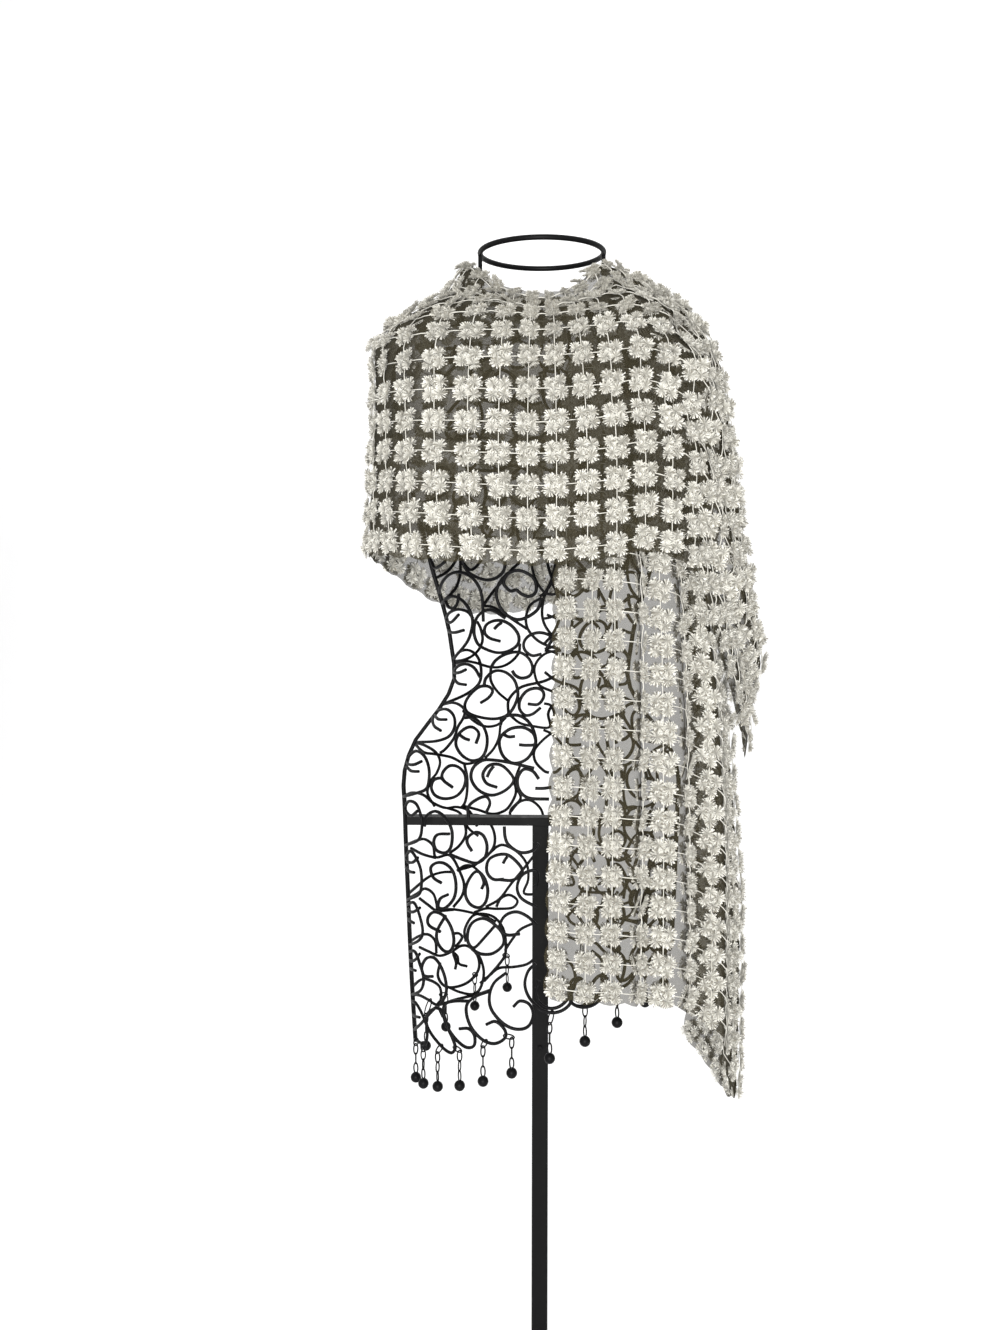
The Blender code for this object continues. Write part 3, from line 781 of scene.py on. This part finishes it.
def motif_places():
    """Every motif on the strip: its row, its column and its place along and across."""
    for row in range(MOTIF_ROWS):
        along = (row + 0.5) * SHAWL_LENGTH / MOTIF_ROWS
        if along > HANGING_END:
            along -= ROW_DRIFT * math.sin(math.pi * (along - HANGING_END) / (SHAWL_LENGTH - HANGING_END))
        for column in range(MOTIF_COLUMNS):
            yield row, column, along, (column + 0.5) / MOTIF_COLUMNS


def spacing_at(along, across):
    """How closely the cloth is drawn together at one place, along it and across it: 1 where it lies flat."""
    step_a, step_c = 0.012, 0.025
    along_gap = np.linalg.norm(cloth.read(along + step_a, across) - cloth.read(along - step_a, across))
    across_gap = np.linalg.norm(cloth.read(along, across + step_c) - cloth.read(along, across - step_c))
    return along_gap / (2 * step_a), across_gap / (2 * step_c * SHAWL_WIDTH)


def motif_piece(name, start, end, templates, rng):
    """The fluffy motifs of one stretch as one mesh."""
    all_points, all_faces, all_ends, count = [], [], [], 0
    for row, column, along, across in motif_places():
        if not start <= along < end:
            continue
        points, faces, ends = templates[rng.integers(len(templates))]
        along_way, across_way, out = cloth.axes(along, across)
        spacing = spacing_at(along, across)
        bunched = min(1.0, max(0.0, 1.4 - 1.4 * min(spacing)))
        squash_along, squash_across = (
            min(WIDEST_MOTIF, max(CLOSEST_MOTIF, share)) * (1 - 0.15 * bunched) * rng.uniform(0.95, 1.05)
            for share in spacing)
        height = min(1.0, 0.5 * (squash_along + squash_across) + 0.3 * bunched)
        turn = rng.normal(0, 0.08 + 0.25 * bunched)
        tilt = rng.normal(0, 0.08 + 0.45 * bunched, 2)
        x = math.cos(turn) * along_way + math.sin(turn) * across_way + tilt[0] * out
        y = -math.sin(turn) * along_way + math.cos(turn) * across_way + tilt[1] * out
        centre = cloth.read(along, across) + rng.normal(0, 0.0006, 3)
        centre += out * (MOTIF_LIFT + BUNCHED_LIFT * bunched * rng.uniform(0, 1))
        all_points.append(centre + squash_along * points[:, :1] * x + squash_across * points[:, 1:2] * y
                          + height * points[:, 2:] * out)
        all_faces.append(faces + count)
        # Painted shade: motifs where the cloth is drawn together into folds are painted darker
        all_ends.append(ends * (1 - 0.55 * bunched))
        count += len(points)
    piece = mesh_piece(name, np.vstack(all_points), np.vstack(all_faces), lobe_thread)
    # How pale each point is, painted shade included, kept on the mesh for the thread material
    layer = piece.data.attributes.new("pale_tone_and_painted_shade", "FLOAT", "POINT")
    layer.data.foreach_set("value", np.concatenate(all_ends))
    return piece


def tube(path, out, radius, sides=5):
    """Points and quads of a thin round cord along a path."""
    path = np.asarray(path)
    ways = np.gradient(path, axis=0)
    ways /= np.linalg.norm(ways, axis=1)[:, None]
    side = np.cross(ways, out)
    side /= np.linalg.norm(side, axis=1)[:, None]
    up = np.cross(side, ways)
    turns = np.arange(sides) * 2 * math.pi / sides
    rings = (path[:, None, :] + radius * (np.cos(turns)[None, :, None] * side[:, None, :]
                                          + np.sin(turns)[None, :, None] * up[:, None, :]))
    faces = [(first + k, first + (k + 1) % sides, first + sides + (k + 1) % sides, first + sides + k)
             for first in range(0, (len(path) - 1) * sides, sides) for k in range(sides)]
    return rings.reshape(-1, 3), np.array(faces)


def cord_piece(name, start, end, rng):
    """The cords that join each motif to the next one along and the next one across."""
    places = {(row, column): (along, across) for row, column, along, across in motif_places()}
    all_points, all_faces, count = [], [], 0
    for (row, column), (along, across) in places.items():
        if not start <= along < end:
            continue
        for neighbour in ((row + 1, column), (row, column + 1)):
            if neighbour not in places:
                continue
            share = np.linspace(0.0, 1.0, 7)
            alongs = along + (places[neighbour][0] - along) * share
            acrosses = across + (places[neighbour][1] - across) * share
            out = cloth.axes(float(alongs[3]), float(acrosses[3]))[2]
            lift = CORD_HEIGHT * (0.35 + 0.65 * np.sin(math.pi * share) ** 2) + rng.normal(0, 0.0002, 7)
            path = cloth.read(alongs, acrosses) + lift[:, None] * out
            points, faces = tube(path, out, CORD_RADIUS * rng.uniform(0.85, 1.1))
            all_points.append(points)
            all_faces.append(faces + count)
            count += len(points)
    piece = mesh_piece(name, np.vstack(all_points), np.vstack(all_faces), cord_thread)
    piece.data.shade_smooth()
    layer = piece.data.attributes.new("pale_tone_and_painted_shade", "FLOAT", "POINT")
    layer.data.foreach_set("value", rng.uniform(0.4, 1.0, count))
    return piece


def net_piece(name, start, end):
    """The sheer net of one stretch, dimpled between the motifs, with a scalloped border."""
    pitch = SHAWL_LENGTH / MOTIF_ROWS
    rows = max(8, round((end - start) / pitch * NET_STEPS_PER_MOTIF))
    columns = MOTIF_COLUMNS * NET_STEPS_PER_MOTIF
    points, marks = [], []
    for i in range(rows + 1):
        along = start + (end - start) * i / rows
        for k in range(columns + 1):
            across = k / columns
            along_wave = abs(math.sin(math.pi * along / pitch))
            across_wave = abs(math.sin(math.pi * across * MOTIF_COLUMNS))
            inset_along, inset_across = 0.0, 0.0
            if k in (0, columns):
                inset_across = SCALLOP / SHAWL_WIDTH * (1 - along_wave) * (1 if k == 0 else -1)
            if along == 0.0 or along == SHAWL_LENGTH:
                inset_along = SCALLOP * (1 - across_wave) * (1 if along == 0.0 else -1)
            out = cloth.axes(along, across)[2]
            dimple = -NET_DIMPLE * (1 - along_wave * across_wave)
            points.append(cloth.read(along + inset_along, across + inset_across) + out * dimple)
            marks.append((along, across * SHAWL_WIDTH))
    wide = columns + 1
    faces = [(i * wide + k, i * wide + k + 1, (i + 1) * wide + k + 1, (i + 1) * wide + k)
             for i in range(rows) for k in range(columns)]
    piece = mesh_piece(name, np.array(points), faces, taupe_net)
    layer = piece.data.uv_layers.new(name="cloth")
    for loop in piece.data.loops:
        layer.data[loop.index].uv = marks[loop.vertex_index]
    piece.data.shade_smooth()
    return piece


def make_shawl():
    rng = np.random.default_rng(14)
    for node, start, end, carrier in STRETCHES:
        inner_threads = BACK_INNER_THREADS if node == "shawl_back" else INNER_THREADS
        templates = [motif_template(rng, inner_threads) for _ in range(MOTIF_KINDS)]
        net = finish_piece(net_piece(node + "_net", start, end), "ivory_lace", node)
        motifs = finish_piece(motif_piece(node + "_motifs", start, end, templates, rng), "ivory_lace")
        cords = finish_piece(cord_piece(node + "_cords", start, end, rng), "ivory_lace")


# Dress form

def camera_angles():
    """How far the camera looks down, and how far it is turned to the wearer's right."""
    return (math.atan((PHOTO_HEIGHT / 2 - PHOTO_HORIZON_Y) / PHOTO_FOCAL),
            math.atan((PHOTO_POST_X - PHOTO_WIDTH / 2) / PHOTO_FOCAL))


def form_half_sizes(height):
    """Half width and half depth of the wire form at a height."""
    heights = [row[0] for row in FORM_SECTIONS]
    height = min(max(height, heights[0]), heights[-1])
    return tuple(smooth_read(heights, [row[k] for row in FORM_SECTIONS], height) for k in (1, 2))


def on_form(x, z, back=False, inset=SCROLL_WIRE / 2):
    """The point on the form's front or back with this x and z, at the middle of the wire."""
    half_width, half_depth = form_half_sizes(z)
    half_width, half_depth = half_width - inset, half_depth - inset
    x = max(-half_width, min(half_width, x))
    y = half_depth * math.sqrt(max(0.0, 1 - (x / half_width) ** 2))
    y = max(y, PAIR_OFFSET)
    return Vector((x, y if back else -y, z))


def from_photo(pixel_x, pixel_y, back=False):
    """The x and z on the form's front or back that the photograph shows at a pixel."""
    down, turned = camera_angles()
    across, up = (pixel_x - PHOTO_WIDTH / 2) / PHOTO_FOCAL, (PHOTO_HEIGHT / 2 - pixel_y) / PHOTO_FOCAL
    ahead = math.cos(down) + up * math.sin(down)
    ray = (across * math.cos(turned) - ahead * math.sin(turned),
           across * math.sin(turned) + ahead * math.cos(turned), up * math.cos(down) - math.sin(down))
    y = 0.0
    for _ in range(6):
        reach = (CAMERA_DISTANCE + y) / ray[1]
        x, z = reach * ray[0], CAMERA_HEIGHT + reach * ray[2]
        y = 0.5 * y + 0.5 * on_form(x, z, back).y
    return x, z


def read_wire(view, points, back=False):
    """A wire as x and z on the form, smooth through the points read from the photograph."""
    left, top, enlarged = view
    places = list(range(len(points)))
    count = WIRE_POINTS_PER_STEP * places[-1]
    path = []
    for k in range(count + 1):
        across, down = (smooth_read(places, [p[i] for p in points], k * places[-1] / count) for i in (0, 1))
        path.append(from_photo(left + across / enlarged, top + down / enlarged, back))
    return path


def traced_paths(back):
    """Every wire of one half that was read from the photograph, as x and z on the form."""
    for view, wires in (BACK_WIRES if back else FRONT_WIRES).items():
        for points in wires:
            yield read_wire(view, points, back)


def wire_curve(name, paths, diameter, surface, resolution=2, cyclic=False):
    """Round wires as one curve object with a spline for each path."""
    curve = bpy.data.curves.new(name, "CURVE")
    curve.dimensions = "3D"
    curve.bevel_depth = diameter / 2
    curve.bevel_resolution = resolution
    curve.use_fill_caps = True
    for path in paths:
        spline = curve.splines.new("POLY")
        spline.points.add(len(path) - 1)
        for place, point in zip(spline.points, path):
            place.co = (*point, 1.0)
        spline.use_cyclic_u = cyclic
    curve.materials.append(surface)
    return bpy.data.objects.new(name, curve)


def hook_loop(x, z, back):
    """The hem loop that a chain drop hangs from: down one side, round the lowest point and up into a hook."""
    path = []
    for k in range(HOOK_LOOP_STEPS + 1):
        turn = math.radians(HOOK_LOOP_START - HOOK_LOOP_TURN * k / HOOK_LOOP_STEPS)
        width = HOOK_LOOP_HALF_WIDTH * (1 - HOOK_LOOP_CLOSING * max(0, k - HOOK_LOOP_OPEN_STEPS))
        path.append((x + width * math.cos(turn + math.pi), z + HOOK_LOOP_HEIGHT / 2 * (1 - math.sin(turn))))
    return path


def mirrored(x, z):
    """The same place on the wearer's left, beyond where the wires read from the photograph end."""
    half_width = form_half_sizes(z)[0]
    return MIRROR_X + (MIRROR_X - x) * (half_width - MIRROR_X) / (half_width + MIRROR_X)


def scroll_paths(back):
    """The wires of one half of the form: as the photograph shows them on the wearer's right, their mirror
    image on the left, raised to the higher hem there, and the waist's wires again up the chest."""
    def share(gap, span):
        return min(1.0, max(0.0, gap / span))

    paths = []
    for path in traced_paths(back):
        lowest, highest = min(z for _, z in path), max(z for _, z in path)
        across = [x for x, _ in path]
        paths.append(path)
        if max(across) > MIRROR_X + MIRROR_GAP:
            continue
        lift = LEFT_HEM_SLOPE * abs(sum(across) / len(across)) * share(LOW_WIRES_END - lowest, LOW_WIRES_SPAN)
        paths.append([(mirrored(x, z), z + lift * share(LEFT_LIFT_END - z, LEFT_LIFT_SPAN)) for x, z in path])
        if lowest > WAIST_LOW and lowest + CHEST_RISE > CHEST_LOW and highest + CHEST_RISE < CHEST_HIGH:
            copy = [(x * CHEST_SPREAD, z + CHEST_RISE) for x, z in path]
            paths += [copy, [(mirrored(x, z), z) for x, z in copy]]
    for node in sorted(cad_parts):
        if node.startswith("chain_drop_back" if back else "chain_drop_front"):
            low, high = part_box(node)
            x = (low[0] + high[0]) / 2
            if x > TRACED_HEM_END:
                paths.append(hook_loop(x, low[2] + CHAIN_LENGTH - SCROLL_WIRE / 2, back))
    return [[on_form(x, z, back) for x, z in path] for path in paths]


def side_wire_path(side, back):
    """One of the paired frame wires, from the hem up the side, along the shoulder and up to the ring."""
    depth = PAIR_OFFSET if back else -PAIR_OFFSET
    low = SIDE_WIRE_LOW + side * SIDE_WIRE_TILT
    top = FORM_SECTIONS[-1][0]
    heights = [low + (top - low) * k / 48 for k in range(49)]
    path = [(side * (form_half_sizes(z)[0] - FRAME_WIRE / 2), depth, z) for z in heights]
    ring_line = RING_DIAMETER / 2 - RING_WIRE / 2
    return path + [(side * ring_line, depth, RING_HEIGHT - below) for below in RING_STEM]


def make_form():
    for half in ("front", "back"):
        scrolls = wire_curve(f"{half}_scrolls", scroll_paths(half == "back"), SCROLL_WIRE, black_wire, 1)
        finish_piece(scrolls, "black_iron", f"form_{half}_scrollwork")
        for name, side in (("left", -1), ("right", 1)):
            wire = wire_curve(f"{half}_side_wire_{name}", [side_wire_path(side, half == "back")],
                              FRAME_WIRE, black_wire, 3)
            finish_piece(wire, "black_iron", f"form_{half}_side_wire_{name}")
    ring_line = RING_DIAMETER / 2 - RING_WIRE / 2
    turns = [k * 2 * math.pi / 96 for k in range(96)]
    circle = [(ring_line * math.cos(t), ring_line * math.sin(t), RING_HEIGHT) for t in turns]
    ring = wire_curve("neck_ring_wire", [circle], RING_WIRE, black_wire, 4, cyclic=True)
    finish_piece(ring, "black_iron", "neck_ring")


def oval_link(top, turn, length):
    """One oval chain link as a closed path, hanging from its top."""
    half_length, half_width = length / 2, LINK_WIDTH / 2 - LINK_WIRE / 2
    path = []
    for k in range(20):
        t = k * 2 * math.pi / 20
        across = half_width * math.sin(t)
        path.append((top[0] + across * math.cos(turn), top[1] + across * math.sin(turn),
                     top[2] - half_length + half_length * math.cos(t)))
    return path


def joining_link(top, wires):
    """The link that joins a chain's top to the nearest place on the form's wires above it."""
    top = Vector(top)
    hook = min((Vector(point) for path in wires for point in path if point[2] > top.z - 0.004),
               key=lambda point: (point - top).length)
    middle, reach = (hook + top) / 2, (hook - top).length / 2
    way = (hook - top).normalized() if reach > 0.0003 else Vector((0, 0, 1))
    side = way.cross(Vector((0, 1, 0))).normalized() * (LINK_WIDTH - LINK_WIRE) / 2
    half_length = reach + 0.6 * LINK_WIRE + SCROLL_WIRE / 2
    turns = [k * math.pi / 10 for k in range(20)]
    return [middle + side * math.sin(t) + way * half_length * math.cos(t) for t in turns]


def make_drops():
    """Each chain drop: four thin oval links and a ball, in place of its solid."""
    rng = np.random.default_rng(5)
    step = (CHAIN_LENGTH - BALL_DIAMETER - LINK_LENGTH + LINK_IN_BALL) / 2
    wires = [scroll_paths(back=False), scroll_paths(back=True)]
    for node in sorted(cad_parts):
        if not node.startswith("chain_drop"):
            continue
        low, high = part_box(node)
        x, y = (low[0] + high[0]) / 2, (low[1] + high[1]) / 2
        start = rng.uniform(-0.5, 0.5)
        top = (x, y, low[2] + CHAIN_LENGTH)
        links = [oval_link((x, y, top[2] - k * step), start + k * LINK_TURN, LINK_LENGTH)
                 for k in range(3)]
        links.append(joining_link(top, wires["chain_drop_back" in node]))
        curve = wire_curve(node + "_links", links, LINK_WIRE, black_wire, 1, cyclic=True)
        looks.objects.link(curve)
        mesh = bpy.data.meshes.new_from_object(curve.evaluated_get(bpy.context.evaluated_depsgraph_get()))
        bpy.data.objects.remove(curve)
        shape = bmesh.new()
        shape.from_mesh(mesh)
        ball = bmesh.ops.create_uvsphere(shape, u_segments=16, v_segments=10, radius=BALL_DIAMETER / 2)
        bmesh.ops.translate(shape, vec=(x, y, low[2] + BALL_DIAMETER / 2), verts=ball["verts"])
        shape.to_mesh(mesh)
        shape.free()
        mesh.shade_smooth()
        if not mesh.materials:
            mesh.materials.append(black_wire)
        finish_piece(bpy.data.objects.new(node + "_chain", mesh), "black_iron", node)


def dress_stand():
    """The stand keeps its solids and takes the black paint."""
    for node in ("hip_bar", "post", "lock_screw", "round_base"):
        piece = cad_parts[node]
        for slot in piece.material_slots:
            slot.material = black_stand


# Studio

def make_studio():
    """A pale floor that curves up behind, a pale sky and three soft lights."""
    depth, bend, height, half = 2.6, 1.2, 5.6, 5.0
    profile = [(-3.0, 0.0), (depth, 0.0)]
    profile += [(depth + bend * math.sin(t), bend - bend * math.cos(t))
                for t in (k * math.pi / 2 / 10 for k in range(1, 11))]
    profile.append((depth + bend, height))
    points = [(side * half, y, z) for y, z in profile for side in (-1, 1)]
    faces = [(2 * k, 2 * k + 1, 2 * k + 3, 2 * k + 2) for k in range(len(profile) - 1)]
    paper, tree, shader = new_material("pale_studio_paper", 0.9)
    colour = use_mottled(tree, (0.90, 0.90, 0.90), (0.88, 0.88, 0.88), 2.0, 0.5)
    tree.links.new(colour.outputs["Color"], shader.inputs["Base Color"])
    floor = mesh_piece("studio_floor", points, faces, paper)
    floor.data.shade_smooth()
    bpy.context.scene.collection.objects.link(floor)

    world = bpy.data.worlds.new("pale_studio")
    world.use_nodes = True
    world.node_tree.nodes["Background"].inputs["Color"].default_value = (1.0, 1.0, 1.0, 1)
    world.node_tree.nodes["Background"].inputs["Strength"].default_value = 0.65
    bpy.context.scene.world = world

    for name, place, aim, size, power in (
            ("key_light", (-0.15, -2.3, 1.10), (0, 0, 1.15), 0.6, 47),
            ("fill_light", (1.9, -2.2, 2.0), (0, 0, 1.0), 1.6, 4),
            ("paper_light", (0.0, 1.2, 3.6), (0, 3.4, 1.6), 2.4, 85)):
        lamp = bpy.data.lights.new(name, "AREA")
        lamp.size = size
        lamp.energy = power
        light = bpy.data.objects.new(name, lamp)
        light.location = place
        light.rotation_euler = (Vector(aim) - Vector(place)).to_track_quat("-Z", "Y").to_euler()
        bpy.context.scene.collection.objects.link(light)


def make_camera():
    """The photograph's view: a level horizon above the middle and the post right of it."""
    lens = bpy.data.cameras.new("photo_camera")
    lens.sensor_width = 36.0
    lens.lens = lens.sensor_width * PHOTO_FOCAL / max(PHOTO_WIDTH, PHOTO_HEIGHT)
    camera = bpy.data.objects.new("photo_camera", lens)
    camera.location = (0, -CAMERA_DISTANCE, CAMERA_HEIGHT)
    down, turned = camera_angles()
    camera.rotation_euler = (math.pi / 2 - down, 0, turned)
    bpy.context.scene.collection.objects.link(camera)
    bpy.context.scene.camera = camera


bpy.context.scene.view_settings.view_transform = "Standard"
make_camera()
make_studio()
make_shawl()
make_form()
make_drops()
dress_stand()
